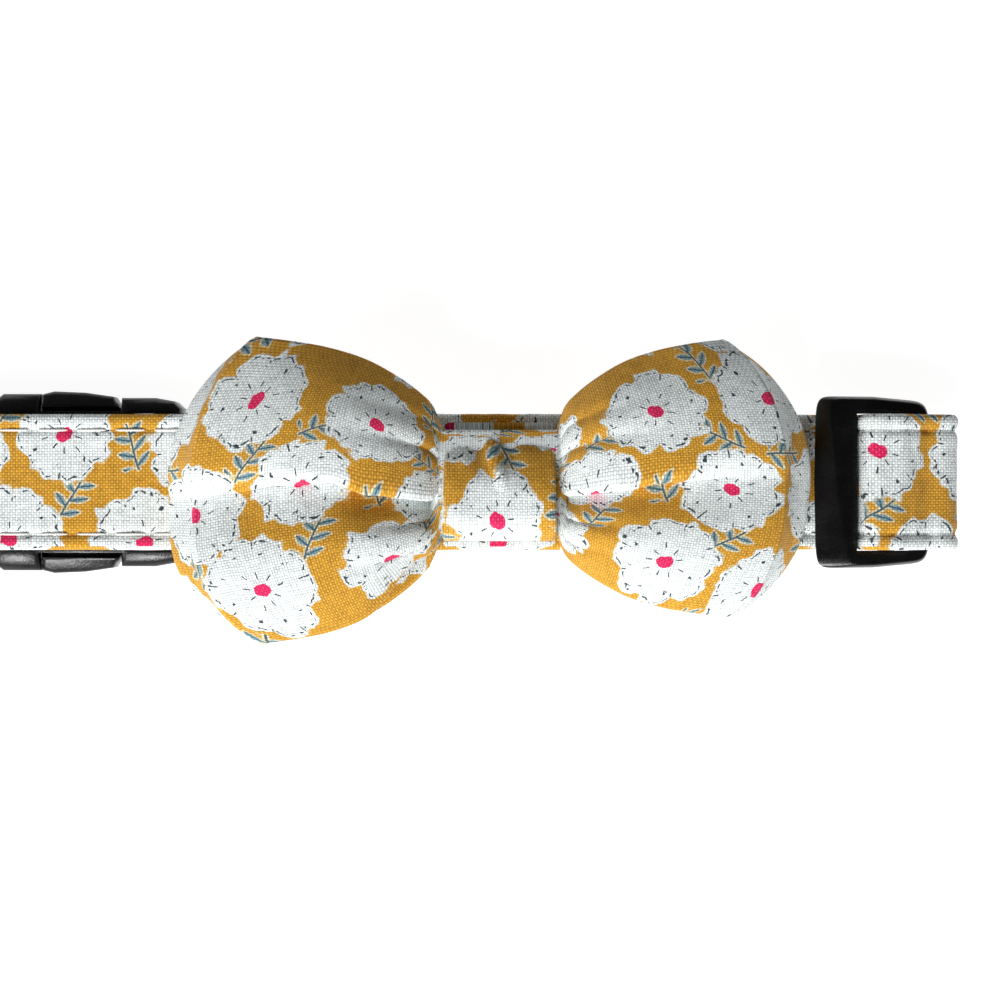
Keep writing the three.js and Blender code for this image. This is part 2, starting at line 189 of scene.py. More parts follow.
# The cloth: a small repeat charted in millimetres of flat cloth
cloth = {
    "repeat": (52.0, 46.0),
    "blossoms": [  # across, up, radius, turn, petals
        (7.0, 7.5, 8.1, 0.3, 8.0), (22.6, 4.6, 7.2, 1.1, 7.0), (39.0, 8.0, 8.3, 2.0, 9.0),
        (15.0, 21.0, 7.6, 0.7, 8.0), (31.2, 20.6, 8.1, 2.6, 8.0), (47.2, 23.4, 7.4, 1.7, 7.0),
        (5.2, 35.6, 7.9, 2.3, 9.0), (22.4, 36.4, 8.2, 0.1, 8.0), (38.6, 37.4, 7.6, 1.4, 8.0)],
    "sprigs": [  # across, up, turn
        (14.8, 12.0, 0.8), (30.6, 11.4, 2.5), (48.2, 14.2, 1.2), (5.2, 21.6, 2.0), (23.4, 27.6, 0.2),
        (39.8, 28.2, 1.1), (13.8, 30.0, 2.8), (49.6, 32.8, 0.5), (14.4, 43.0, 1.9), (31.2, 45.4, 0.7)],
    "sprigSize": 4.3, "leafPitch": 2.3,
    "ground": (0.60, 0.300, 0.026),
    "white": (0.76, 0.81, 0.81),
    "pink": (0.74, 0.018, 0.115),
    "ink": (0.030, 0.048, 0.062),
    "leaf": (0.235, 0.345, 0.37),
    "leafLine": (0.060, 0.13, 0.165),
    "halo": (0.72, 0.66, 0.46),
    "thread": 0.39, "threadBend": 0.10, "weftHeight": 0.58,
    "shade": 0.54, "ridgeShade": 0.96, "slubShade": 0.90, "fuzzShade": 0.40,  # the weave's light and dark
    # fibre sheen: painted sheen on the thread crowns, together with the paler undyed fibre there
    "fibreSheen": (0.85, 0.80, 0.66), "fibreSheenShare": 0.30,
    "roughness": 0.88, "sheen": 0.12, "specular": 0.25, "bump": 0.00016,
}


def nearestMotif(point, places):  # the offset from the nearest motif, and what the chart says of it
    halfX, halfY = (v / 2 for v in cloth["repeat"])
    best, offset, facts = None, None, None
    for across, up, size, turn, petals in places:
        away = point.vector("SUBTRACT", (across, up, 0.0))
        away = away.vector("WRAP", (halfX, halfY, 1.0), (-halfX, -halfY, -1.0))
        far = away.vector("LENGTH", out=1) / size
        if best is None:
            best, offset = far, away
            facts = point.node("ShaderNodeCombineXYZ", s0=size, s1=turn, s2=petals)
            continue
        nearer = far < best
        best = far.least(best)
        offset = offset.mixedVector(nearer, away)
        facts = facts.mixedVector(nearer, (size, turn, petals))
    return offset, facts


def printColour(flat):  # the printed colour at a place on the flat cloth
    wobble = flat.noise(0.42, 1.0, 0.4, "2D")
    rough = flat.noise(1.15, 1.0, 0.5, "2D")
    offset, facts = nearestMotif(flat, cloth["blossoms"])
    radius, turn, petals = facts.parts()
    x, y, _ = offset.parts()
    r = offset.vector("LENGTH", out=1)
    angle = x.maths("ARCTAN2", y, x) + turn
    swing = angle * petals * 0.5
    lobe = abs(swing.sin()) ** 0.7
    ragged = abs((angle * 11.0 + turn * 5.0).sin()) * 0.022
    edge = radius * (0.84 + 0.12 * lobe + ragged + 0.30 * (wobble - 0.5))
    blossom = (r - edge).below(0.0, 0.06)
    rim = (r - edge).below(0.16, 0.14)
    broken = rough.below(0.49, 0.02)
    rimDash = (abs(r - edge * 0.92)).below(0.14, 0.05) * broken * (lobe > 0.35)
    notch = lobe < 0.16
    notchDash = notch * (r > edge * 0.84) * (r < edge * 0.99) * rough.below(0.56, 0.02)
    spokes = angle * 9.0 + turn * 3.0 + (wobble - 0.5) * 2.2
    tickReach = 2.45 + 0.5 * (angle * 3.0 + turn * 7.0).sin()
    tick = (spokes.cos() > (1.0 - 0.40 / (r * r + 0.6))) * (abs(r - tickReach) < 0.48)
    pinkEdge = 1.12 + 0.16 * (angle * 2.0 + turn * 2.0).sin() + 0.5 * (rough - 0.5)
    pink = (r - pinkEdge).below(0.0, 0.05)
    seedPlace = (angle * petals + turn * 4.0).cos() > 0.90
    seed = (abs(r - edge * 0.70)).below(0.24, 0.05) * seedPlace * rough.below(0.50, 0.02)

    sprigs = [(across, up, cloth["sprigSize"], turn, 0.0) for across, up, turn in cloth["sprigs"]]
    away, sprigFacts = nearestMotif(flat, sprigs)
    _, lean, _ = sprigFacts.parts()
    sx, sy, _ = away.parts()
    along = sx * lean.cos() + sy * lean.sin()
    aside = sy * lean.cos() - sx * lean.sin() + 0.5 * (along * 0.45).sin()
    stagger = 0.45 * aside.maths("SIGN", aside)  # leaves on the stem's two sides alternate
    cell = along.maths("MODULO", along + 20.0 + stagger, cloth["leafPitch"]) - 0.55
    spread = abs(aside)
    lengthways = cell * 0.50 + spread * 0.866
    crossways = spread * 0.50 - cell * 0.866
    leafWidth = 0.46 * (1.0 - ((lengthways - 1.35) / 1.35) ** 2.0).most(0.0)
    inReach = (abs(along) < 2.9) * (lengthways > 0.0)
    leaf = (abs(crossways) < leafWidth) * inReach
    leafHalo = (abs(crossways) - leafWidth).below(0.24, 0.12) * (abs(along) < 3.1) * (lengthways < 2.9)
    vein = (abs(crossways) < 0.13) * leaf
    stem = (spread < 0.15) * (abs(along) < 3.5)
    stemHalo = spread.below(0.4, 0.14) * (abs(along) < 3.6)

    colour = flat.plain(cloth["ground"]).mixed(leafHalo.most(stemHalo) * 0.8, cloth["halo"])
    colour = colour.mixed(leaf, cloth["leaf"]).mixed(vein.most(stem), cloth["leafLine"])
    colour = colour.mixed(rim * 0.45, cloth["halo"]).mixed(blossom, cloth["white"])
    ink = rimDash.most(notchDash).most(tick * blossom).most(seed)
    return colour.mixed(ink, cloth["ink"]).mixed(pink, cloth["pink"])


def clothMaterial():
    made, start = newMaterial("printedCotton", cloth["ground"])
    flat = start.node("ShaderNodeUVMap", {"uv_map": "cloth"}).vector("SCALE", scale=1000.0)
    x, y, _ = flat.parts()
    perThread = 1.0 / cloth["thread"]
    bend = cloth["threadBend"] * flat.noise(0.8, 2.0, 0.5, "2D")
    warp = ((x + bend) * (math.pi * perThread)).sin()
    weft = ((y + bend) * (math.pi * perThread)).sin()
    over = (warp * weft) > 0.0
    up = abs(warp) ** 0.7 * (0.55 + 0.45 * abs(weft)) * over
    across = abs(weft) ** 0.7 * (0.55 + 0.45 * abs(warp)) * (1.0 - over)
    ridge = up + cloth["weftHeight"] * across
    threadX = (x * perThread).joined(y * 0.35).noise(1.0, 1.0, 0.5, "2D")
    threadY = (x * 0.35).joined(y * perThread).noise(1.0, 1.0, 0.5, "2D")
    slub = (threadX + threadY) * 0.5
    fuzz = flat.noise(9.0, 3.0, 0.7, "2D")
    shade = cloth["shade"] + cloth["ridgeShade"] * ridge
    shade = shade + cloth["slubShade"] * (slub - 0.5) + cloth["fuzzShade"] * (fuzz - 0.5)
    colour = flat.node("ShaderNodeMix", {"data_type": "RGBA", "blend_type": "MULTIPLY"}, 2,
                       s0=1.0, s6=printColour(flat), s7=shade.joined(shade, shade))
    # painted sheen on the highest thread crowns, together with the paler undyed fibre there
    colour = colour.mixed((ridge - 0.72).most(0.0) * cloth["fibreSheenShare"], cloth["fibreSheen"])
    height = ridge * 0.7 + slub * 0.5 + fuzz * 0.15
    relief = height.node("ShaderNodeBump", Height=height, Strength=0.8, Distance=cloth["bump"])
    return fillShader(made, {
        "Base Color": colour, "Normal": relief, "Roughness": cloth["roughness"],
        "Sheen Weight": cloth["sheen"], "Sheen Roughness": 0.5, "Specular IOR Level": cloth["specular"]})


plastic = {
    "colour": (0.0010, 0.0011, 0.0012), "dust": (0.08, 0.085, 0.09), "dustShare": 0.55,
    "roughness": 0.29, "specular": 0.38, "bump": 0.00010,
}
ownPlace = 3  # the texture coordinate that goes with the object


def plasticMaterial():
    made, start = newMaterial("blackPlastic", plastic["colour"])
    place = start.node("ShaderNodeTexCoord", out=ownPlace)
    grain = place.noise(2600.0, 3.0, 0.7)
    broad = place.noise(240.0, 3.0, 0.6)
    speck = place.noise(5200.0, 1.0, 0.5)
    dust = (1.0 - speck.below(0.72, 0.02)) * (1.0 - broad.below(0.55, 0.05))
    colour = place.plain(plastic["colour"]).mixed(dust * plastic["dustShare"], plastic["dust"])
    rough = plastic["roughness"] + 0.16 * (broad - 0.5) + 0.14 * (grain - 0.5)
    relief = grain.node("ShaderNodeBump", Height=grain * 0.8 + broad * 0.6, Strength=0.45,
                        Distance=plastic["bump"])
    return fillShader(made, {"Base Color": colour, "Roughness": rough, "Normal": relief,
                             "Specular IOR Level": plastic["specular"]})


thread = {
    "colour": (0.86, 0.86, 0.84), "shade": (0.70, 0.69, 0.66), "twists": 16.0,
    "roughness": 0.6, "bump": 0.00006,
}


def threadMaterial():
    made, start = newMaterial("whiteThread", (0.85, 0.85, 0.82))
    place = start.node("ShaderNodeTexCoord", out=ownPlace).vector("SCALE", scale=1000.0)
    x, y, z = place.parts()
    twist = ((x + y * 0.7 + z * 0.7) * thread["twists"]).sin()
    colour = place.plain(thread["colour"]).mixed(0.5 - 0.5 * twist, thread["shade"])
    relief = twist.node("ShaderNodeBump", Height=twist, Strength=0.5, Distance=thread["bump"])
    return fillShader(made, {"Base Color": colour, "Normal": relief, "Roughness": thread["roughness"]})


cottonSkin = clothMaterial()
plasticSkin = plasticMaterial()
threadSkin = threadMaterial()
print("materials made")


# Shared mesh helpers
def placed(name, data):
    made = bpy.data.objects.new(name, data)
    bpy.context.scene.collection.objects.link(made)
    return made


def meshObject(name, points, faces, material, uvs=None):  # in mm, with a uv for each corner of each face
    mesh = bpy.data.meshes.new(name)
    mesh.from_pydata([[v * mm for v in p] for p in points], [], faces)
    if uvs:
        layer = mesh.uv_layers.new(name="cloth")
        layer.data.foreach_set("uv", [v * mm for corners in uvs for uv in corners for v in uv])
    mesh.materials.append(material)
    mesh.polygons.foreach_set("use_smooth", [True] * len(mesh.polygons))
    return placed(name, mesh)


def smooth(value):
    value = min(1.0, max(0.0, value))
    return value * value * (3 - 2 * value)


def bump(value, width):
    return math.exp(-((value / width) ** 2))


def evenly(line, count):  # count + 1 points at even steps along a line, and the step
    reach = [0.0]
    for a, b in zip(line, line[1:]):
        reach.append(reach[-1] + math.dist(a, b))
    points, k = [], 0
    for i in range(count + 1):
        s = reach[-1] * i / count
        while k < len(line) - 2 and reach[k + 1] < s:
            k += 1
        part = (s - reach[k]) / max(reach[k + 1] - reach[k], 1e-9)
        points.append(tuple(a + part * (b - a) for a, b in zip(line[k], line[k + 1])))
    return points, reach[-1] / count


# A loop of cloth with two faces, from a grid of middle points: columns run round the loop, rows across it.
# The function flats gives a point's place on the flat cloth, where column cols is column 0 after one round.
def clothShell(name, grid, flats, thick):
    rows, cols = len(grid), len(grid[0])
    half = thick / 2
    rim = [(0.71, math.cos(math.pi / 4)), (0.0, 1.0), (-0.71, math.cos(math.pi / 4))]
    order = [(r, 1.0, 0.0) for r in range(rows)] + [(rows - 1, side, out) for side, out in rim]
    order += [(r, -1.0, 0.0) for r in reversed(range(rows))] + [(0, side, -out) for side, out in reversed(rim)]
    edges, normals = [], []
    for r in range(rows):
        below, above = grid[max(r - 1, 0)], grid[min(r + 1, rows - 1)]
        edges.append([above[c] - below[c] for c in range(cols)])
        normals.append([(grid[r][(c + 1) % cols] - grid[r][c - 1]).cross(edges[r][c]).normalized()
                        for c in range(cols)])
    points, faces, uvs = [], [], []
    for r, side, out in order:
        points += [grid[r][c] + normals[r][c] * (side * half) + edges[r][c].normalized() * (out * half)
                   for c in range(cols)]
    ringFlats = [[flats(r, c, out * half) for c in range(cols + 1)] for r, side, out in order]
    for k in range(len(order)):
        n = (k + 1) % len(order)
        for c in range(cols):
            d = (c + 1) % cols
            faces.append((k * cols + c, k * cols + d, n * cols + d, n * cols + c))
            uvs.append([ringFlats[k][c], ringFlats[k][c + 1], ringFlats[n][c + 1], ringFlats[n][c]])
    return meshObject(name, points, faces, cottonSkin, uvs)


# Strap
strap = {
    "width": 20.0, "thick": 1.4, "gap": 0.3, "edge": 0.55, "slotRoom": 0.14, "cut": (11.0, 17.0),
    "step": 0.58, "across": 44,
    "stitchInset": 2.35, "stitchPitch": 5.5, "stitchLength": 2.9, "stitchThick": 0.42,
    "stitchSink": 0.22, "stitchBend": 0.45,  # no stitch where it turns more
    "channel": 0.26, "dimple": 0.26, "ripple": 0.15, "pucker": 0.22, "sink": 0.10, "wave": 0.16,
    "spread": 0.040, "spreadShift": 0.38,  # its front layer, over the buckle
}
buckle = {
    "thick": 8.2, "bar": 2.4, "barLength": 3.0, "room": 0.7, "rounding": 0.45,
    "sideCuts": (0.45, 1.0, 1.55, 2.1, 2.6, 3.0), "sideFall": 0.42, "sideWidth": 3.3,
}
slider = {
    "thick": 2.4, "near": 5.7, "centre": 2.0, "far": 2.7, "toFold": 4.3, "tilt": math.radians(8),
    "rail": 2.0, "room": 0.7, "rounding": 0.22, "points": 120, "recess": 0.35,
}
slider["nearSlot"] = 2 * strap["thick"] + 3.4 * strap["gap"]
slider["farSlot"] = strap["thick"] + 4.6 * strap["gap"]
slider["length"] = sum(slider[k] for k in ("near", "nearSlot", "centre", "farSlot", "far"))
stitchLine = strap["width"] / 2 - strap["stitchInset"]
floorLevel = strap["thick"] / 2
innerLevel = floorLevel + strap["thick"] + strap["gap"]
frontLevel = buckle["thick"] + strap["gap"] + strap["thick"] / 2
strapUnder = slider["thick"] / 2 + strap["gap"] + strap["thick"] / 2
rightFold, leftFold = strapHigh[0], strapLow[0]
slider["middle"] = rightFold - slider["toFold"] - slider["length"] / 2
slider["level"] = (innerLevel + strap["thick"] + strap["gap"] + strapUnder
                   + slider["length"] / 2 * math.sin(slider["tilt"]))
nearSlotStart = slider["near"] - slider["length"] / 2
centreStart = nearSlotStart + slider["nearSlot"]
farSlotStart = centreStart + slider["centre"]
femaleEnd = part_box("buckle_female")[1][0] / mm
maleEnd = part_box("buckle_male")[0][0] / mm


def fromSlider(u, w):
    along, up = math.cos(slider["tilt"]), math.sin(slider["tilt"])
    return slider["middle"] + u * along + w * up, slider["level"] - u * up + w * along


def strapCorners():  # the strap's middle line, as in the frame: x, z, radius
    t, g = strap["thick"], strap["gap"]
    turn, barTurn = t + 2 * g, t / 2 + g
    overBar = t + g + buckle["bar"] + g + t / 2
    malePost = maleEnd + buckle["barLength"] + g + t / 2
    femalePost = femaleEnd - buckle["barLength"] - g - t / 2
    beside = 2.5 * t
    frontTurn = 0.49 * (frontLevel - floorLevel)
    half = slider["length"] / 2
    rise = centreStart - 2 * g - 1.5 * t
    wrap = centreStart - g - t / 2
    overCentre = strapUnder + t + g
    foldTop = fromSlider(half, strapUnder)[1] - t / 2
    innerTurn = rightFold - 1.5 * t - g
    innerTop = fromSlider(half, -strapUnder)[1]
    innerRound = 0.49 * (innerTop - innerLevel)
    tail = 0.65 * (maleEnd - leftFold)
    return [
        (maleEnd - tail, innerLevel, 0), (maleEnd - beside, innerLevel, turn), (maleEnd, overBar, turn),
        (malePost, overBar, barTurn), (malePost, floorLevel, barTurn),
        (leftFold + t / 2, floorLevel, frontTurn), (leftFold + t / 2, frontLevel, frontTurn),
        (slider["middle"] - 2.4 * half, frontLevel, 8 * t),
        (*fromSlider(-half - t, -strapUnder), 4 * t), (*fromSlider(rise, -strapUnder), barTurn),
        (*fromSlider(rise, overCentre), turn), (*fromSlider(farSlotStart, overCentre), 2 * t),
        (*fromSlider(half - t, strapUnder), 2 * t),
        (rightFold - t / 2, foldTop, 2 * t), (rightFold - t / 2, floorLevel, 2 * t),
        (femalePost, floorLevel, barTurn), (femalePost, overBar, barTurn),
        (femaleEnd, overBar, turn), (femaleEnd + beside, innerLevel, turn),
        (innerTurn, innerLevel, innerRound), (innerTurn, innerTop, innerRound),
        (*fromSlider(half, -strapUnder), t), (*fromSlider(wrap, -strapUnder), barTurn),
        (*fromSlider(wrap, strapUnder), barTurn), (*fromSlider(farSlotStart, strapUnder), t),
        (*fromSlider(farSlotStart + 0.6 * slider["farSlot"], strapUnder - t / 2), 0),
    ]


def evenPath(corners, step):  # even points along a line with rounded corners: x, z, angle
    dense = []
    for i, (x, z, r) in enumerate(corners):
        if i in (0, len(corners) - 1):
            dense.append((x, z))
            continue
        inAngle = math.atan2(z - corners[i - 1][1], x - corners[i - 1][0])
        outAngle = math.atan2(corners[i + 1][1] - z, corners[i + 1][0] - x)
        bend = math.atan2(math.sin(outAngle - inAngle), math.cos(outAngle - inAngle))
        side = 1 if bend > 0 else -1
        back = r * math.tan(abs(bend) / 2)
        cx = x - back * math.cos(inAngle) - side * r * math.sin(inAngle)
        cz = z - back * math.sin(inAngle) + side * r * math.cos(inAngle)
        for k in range(25):
            angle = inAngle + bend * k / 24
            dense.append((cx + side * r * math.sin(angle), cz - side * r * math.cos(angle)))
    length = sum(math.dist(a, b) for a, b in zip(dense, dense[1:]))
    path, step = evenly(dense, round(length / step))
    full = []
    for i, (x, z) in enumerate(path):
        a, b = path[max(i - 1, 0)], path[min(i + 1, len(path) - 1)]
        full.append((x, z, math.atan2(b[1] - a[1], b[0] - a[0])))
    return full, step


strapPath, strapStep = evenPath(strapCorners(), strap["step"])


def strapRelief(s, y):  # how far the face stands off its flat level: channels, dimples and puckers
    off = abs(y) - stitchLine
    phase = s / strap["stitchPitch"] % 1.0
    hole = bump(min(phase, 1 - phase), 0.13)
    row = 3.0 if y > 0 else 11.0  # the two stitch lines pucker each in its own way
    channel = -(strap["channel"] + strap["dimple"] * hole) * bump(off, 0.42 + 0.1 * hole)
    ripple = strap["ripple"] * noise.noise(Vector((s * 0.50, y * 0.10, row * 0.1)))
    pucker = strap["pucker"] * noise.noise(Vector((s * 0.75, row, 2.0))) * bump(off, 2.6)
    swell = 0.20 * bump(off - 1.2, 0.8) + 0.08 * bump(off + 1.4, 0.9)
    return channel + ripple + pucker + swell


def strapSection():  # points round the strap's section: y, and the height as a share, 1 on top and -1 beneath
    edge = strap["edge"]
    flat = strap["width"] / 2 - edge
    across = [-flat + 2 * flat * i / strap["across"] for i in range(strap["across"] + 1)]
    across += [side * (stitchLine + shift) for side in (-1, 1) for shift in (-0.45, -0.15, 0.15, 0.45)]
    across = sorted(set(round(v, 3) for v in across))
    turn = [math.radians(a) for a in (60, 30, 0, -30, -60)]
    section = [(y, 1.0) for y in across]
    section += [(flat + edge * math.cos(a), math.sin(a)) for a in turn]
    section += [(y, -1.0) for y in reversed(across)]
    section += [(-flat - edge * math.cos(a), math.sin(a)) for a in reversed(turn)]
    return section


def makeStrap():
    section = strapSection()
    size = len(section)
    half = strap["thick"] / 2
    cutX, cutY = strap["cut"]
    girth = [cutY - strap["width"] / 2]
    for (y0, h0), (y1, h1) in zip(section, section[1:] + section[:1]):
        girth.append(girth[-1] + math.hypot(y1 - y0, (h1 - h0) * half))
    points, faces, uvs = [], [], []
    for i, (x, z, angle) in enumerate(strapPath):
        s = i * strapStep
        wave = strap["wave"] * noise.noise(Vector((s * 0.22, 7.0, 1.0)))
        overBuckle = smooth((-52 - x) / 12) * smooth((z - innerLevel) / 4) * smooth((x - leftFold - 1) / 8)
        free = smooth(abs(x - slider["middle"]) / 8 - 1) * smooth((x - femaleEnd - 4) / 4)
        for y, share in section:
            relief = strapRelief(s, y) if abs(share) == 1.0 else 0.0
            up = max(-half, min(half + 0.1, share * (half - strap["sink"] + relief)))
            wide = y * (1 + strap["spread"] * overBuckle) - strap["spreadShift"] * overBuckle
            wide += math.copysign(wave * free * abs(y) / 10, y)
            points.append((x - math.sin(angle) * up, strapY + wide, z + math.cos(angle) * up))
    for i in range(len(strapPath) - 1):
        here, there = i * size, (i + 1) * size
        u0, u1 = i * strapStep + cutX, (i + 1) * strapStep + cutX
        for k in range(size):
            n = (k + 1) % size
            faces.append((there + k, there + n, here + n, here + k))
            uvs.append([(u1, girth[k]), (u1, girth[k + 1]), (u0, girth[k + 1]), (u0, girth[k])])
    last = (len(strapPath) - 1) * size
    faces += [tuple(range(size)), tuple(last + k for k in reversed(range(size)))]
    uvs += [[(cutX, cutY)] * size] * 2
    return meshObject("strapCloth", points, faces, cottonSkin, uvs)


# Geometry Nodes: one stitch, laid along a stitch line at an even pitch
def stitchTree():
    tree = bpy.data.node_groups.new("stitchRow", "GeometryNodeTree")
    tree.interface.new_socket("Geometry", in_out="INPUT", socket_type="NodeSocketGeometry")
    for name, key in (("Pitch", "stitchPitch"), ("Length", "stitchLength"), ("Thickness", "stitchThick")):
        socket = tree.interface.new_socket(name, in_out="INPUT", socket_type="NodeSocketFloat")
        socket.default_value = strap[key] * mm
    tree.interface.new_socket("Geometry", in_out="OUTPUT", socket_type="NodeSocketGeometry")
    node = tree.nodes.new
    given, result = node("NodeGroupInput"), node("NodeGroupOutput")
    curve = node("GeometryNodeMeshToCurve")
    resample = node("GeometryNodeResampleCurve")
    resample.mode = "LENGTH"
    tangent = node("GeometryNodeInputTangent")
    aim = node("FunctionNodeAlignEulerToVector")
    aim.axis = "Z"
    ball = node("GeometryNodeMeshUVSphere")
    for name, value in (("Segments", 8), ("Rings", 8), ("Radius", 0.5)):
        ball.inputs[name].default_value = value
    spot, split = node("GeometryNodeInputPosition"), node("ShaderNodeSeparateXYZ")
    join, size = node("ShaderNodeCombineXYZ"), node("ShaderNodeCombineXYZ")
    away, power, side, blunt = (node("ShaderNodeMath") for _ in range(4))
    away.operation, power.operation, side.operation, blunt.operation = "ABSOLUTE", "POWER", "SIGN", "MULTIPLY"
    power.inputs[1].default_value = 0.4
    moved = node("GeometryNodeSetPosition")  # blunt ends, not pointed ones
    shape = node("GeometryNodeTransform")
    place = node("GeometryNodeInstanceOnPoints")
    real = node("GeometryNodeRealizeInstances")
    soft = node("GeometryNodeSetShadeSmooth")
    skin = node("GeometryNodeSetMaterial")
    skin.inputs["Material"].default_value = threadSkin
    for source, out, target, into in (
        (given, "Geometry", curve, "Mesh"), (curve, "Curve", resample, "Curve"),
        (given, "Pitch", resample, "Length"), (resample, "Curve", place, "Points"),
        (tangent, "Tangent", aim, "Vector"), (aim, "Rotation", place, "Rotation"),
        (given, "Thickness", size, "X"), (given, "Thickness", size, "Y"), (given, "Length", size, "Z"),
        (spot, "Position", split, "Vector"), (split, "Z", away, 0), (away, "Value", power, 0),
        (split, "Z", side, 0), (side, "Value", blunt, 0), (power, "Value", blunt, 1),
        (split, "X", join, "X"), (split, "Y", join, "Y"), (blunt, "Value", join, "Z"),
        (ball, "Mesh", moved, "Geometry"), (join, "Vector", moved, "Position"),
        (moved, "Geometry", shape, "Geometry"), (size, "Vector", shape, "Scale"),
        (shape, "Geometry", place, "Instance"), (place, "Instances", real, "Geometry"),
        (real, "Geometry", soft, "Geometry"), (soft, "Geometry", skin, "Geometry"),
        (skin, "Geometry", result, "Geometry"),
    ):
        tree.links.new(source.outputs[out], target.inputs[into])
    return tree


def stitchRuns():  # stretches of the strap's path that carry stitches
    last = len(strapPath) - 1
    reach = strap["stitchLength"] / 2
    runs, run = [], []
    for k in range(int(len(strapPath) * strapStep / strap["stitchPitch"])):
        s = (k + 0.5) * strap["stitchPitch"]  # stitches lie between the holes
        before, here, after = (min(round(p / strapStep), last) for p in (s - reach, s, s + reach))
        if abs(strapPath[after][2] - strapPath[before][2]) < strap["stitchBend"]:
            run.append(here)
        elif run:
            runs.append(run)
            run = []
    runs.append(run)
    return [run for run in runs if len(run) > 1]


def makeStitches():
    points, edges = [], []
    off = strap["thick"] / 2 - strap["stitchSink"]
    runs = stitchRuns()
    for y in (-stitchLine, stitchLine):
        for side in (off, -off):
            for run in runs:
                first = len(points)
                for x, z, angle in strapPath[run[0]:run[-1] + 1]:
                    points.append((x - math.sin(angle) * side, strapY + y, z + math.cos(angle) * side))
                edges += [(k, k + 1) for k in range(first, len(points) - 1)]
    mesh = bpy.data.meshes.new("stitchLines")
    mesh.from_pydata([[v * mm for v in p] for p in points], edges, [])
    guide = placed("stitchLines", mesh)
    guide.modifiers.new("stitches", "NODES").node_group = stitchTree()
    bpy.context.view_layer.update()
    done = bpy.data.meshes.new_from_object(guide.evaluated_get(bpy.context.evaluated_depsgraph_get()))
    bpy.data.objects.remove(guide)
    done.name = "topstitching"
    return placed("topstitching", done)


strapPiece = makeStrap()
stitchPiece = makeStitches()
print("strap and topstitching made")

# Bow: the tables run along the wing, from the knot out
bow = {
    "wall": 1.1, "rise": 13.4, "cadWall": 1.5, "width": 46.0, "cut": (26.0, 23.0), "tuck": 3.4,
    "rows": 130, "front": 84, "strip": 26, "back": 26, "waist": 8,
    "left": {"crease": 44.4, "cornerTop": 34.9, "cornerBottom": 33.9, "top": 20.4, "bottom": 22.9, "strip": 4.2},
    "right": {"crease": 40.9, "cornerTop": 32.1, "cornerBottom": 33.4, "top": 20.0, "bottom": 19.1, "strip": 4.0},
    # share of the way, then shares of width and height, and the droop of the long edges
    "stations": [
        (0.00, 0.00, 0.46, 0.18), (0.05, 0.25, 0.62, 0.36), (0.12, 0.40, 0.82, 0.48),
        (0.25, 0.585, 1.00, 0.52), (0.42, 0.765, 1.07, 0.52), (0.62, 0.89, 1.07, 0.48),
        (0.80, 0.955, 1.02, 0.43), (0.92, 0.985, 0.96, 0.40), (1.00, 1.00, 0.89, 0.38)],
    # the soft folds of the left (-1) and right wing: place, width, depth, reach
    "creases": {
        -1: [(0.50, 0.08, 0.06, 0.6), (-0.42, 0.07, 0.05, 0.5), (-0.76, 0.07, 0.07, 0.7), (0.80, 0.07, 0.05, 0.5)],
        1: [(0.46, 0.08, 0.07, 0.65), (-0.5, 0.07, 0.06, 0.55), (0.76, 0.06, 0.05, 0.5), (-0.8, 0.07, 0.05, 0.5)]},
    # the deep middle fold: share of the way, then in mm place across, depth, overhang and lower slope
    "foldLine": {
        -1: [(0.0, -1.3, 1.8, 0.4, 3.2), (0.05, -1.2, 4.4, 1.7, 4.2), (0.28, -0.5, 5.2, 1.8, 5.4),
             (0.44, 0.3, 3.6, 0.7, 6.2), (0.62, -0.6, 2.4, 0.0, 6.8), (0.85, -1.9, 2.8, 0.0, 7.0),
             (1.0, -2.6, 3.2, 0.0, 6.8)],
        1: [(0.0, -0.8, 1.8, 0.4, 3.2), (0.05, -0.6, 4.2, 1.6, 4.2), (0.28, 0.1, 4.6, 1.7, 5.2),
            (0.48, 0.4, 3.4, 0.9, 6.0), (0.68, 0.4, 2.3, 0.1, 6.4), (0.85, 0.2, 1.2, 0.0, 6.4),
            (1.0, 0.0, 0.8, 0.0, 6.4)]},
}
knot = {
    "length": knotHigh[0] - knotLow[0], "width": knotHigh[1] - knotLow[1], "height": knotHigh[2] - knotLow[2],
    "wall": 1.3, "gap": 0.3, "rows": 60, "columns": 150, "cut": (47.5, 29.0), "lowest": -4.4,
    # folds on its top: height, place along, lean, width, and where across it starts and over what span
    "folds": [(0.75, 0.02, 0.035, 0.10, -2.5, 4.0), (-0.55, -0.32, 0.03, 0.17, -1.0, 5.0),
              (-0.50, 0.30, 0.02, 0.15, 0.0, 5.0), (-0.40, 0.55, 0.0, 0.20, -1.0, -5.0)],
}
waistHalf = knot["width"] / 2 - knot["wall"] - knot["gap"]
waistEnd = knot["length"] / 2 + knot["gap"]
bowFloor = bowBase + bow["cadWall"] / 2


def rowAt(rows, along):  # the table's row before a place, and the share of the way to the next
    k = next((i for i in range(len(rows) - 2) if along < rows[i + 1][0]), len(rows) - 2)
    return k, (along - rows[k][0]) / (rows[k + 1][0] - rows[k][0])


def stationAt(along, column):  # a smooth value between the rows of the bow's stations
    rows = bow["stations"]
    k, t = rowAt(rows, along)
    a, b = rows[k], rows[k + 1]
    before, after = rows[max(k - 1, 0)], rows[min(k + 2, len(rows) - 1)]
    span = b[0] - a[0]
    slopeA = (b[column] - before[column]) / max(b[0] - before[0], 1e-6) * span
    slopeB = (after[column] - a[column]) / max(after[0] - a[0], 1e-6) * span
    return ((2 * t**3 - 3 * t**2 + 1) * a[column] + (t**3 - 2 * t**2 + t) * slopeA
            + (3 * t**2 - 2 * t**3) * b[column] + (t**3 - t**2) * slopeB)


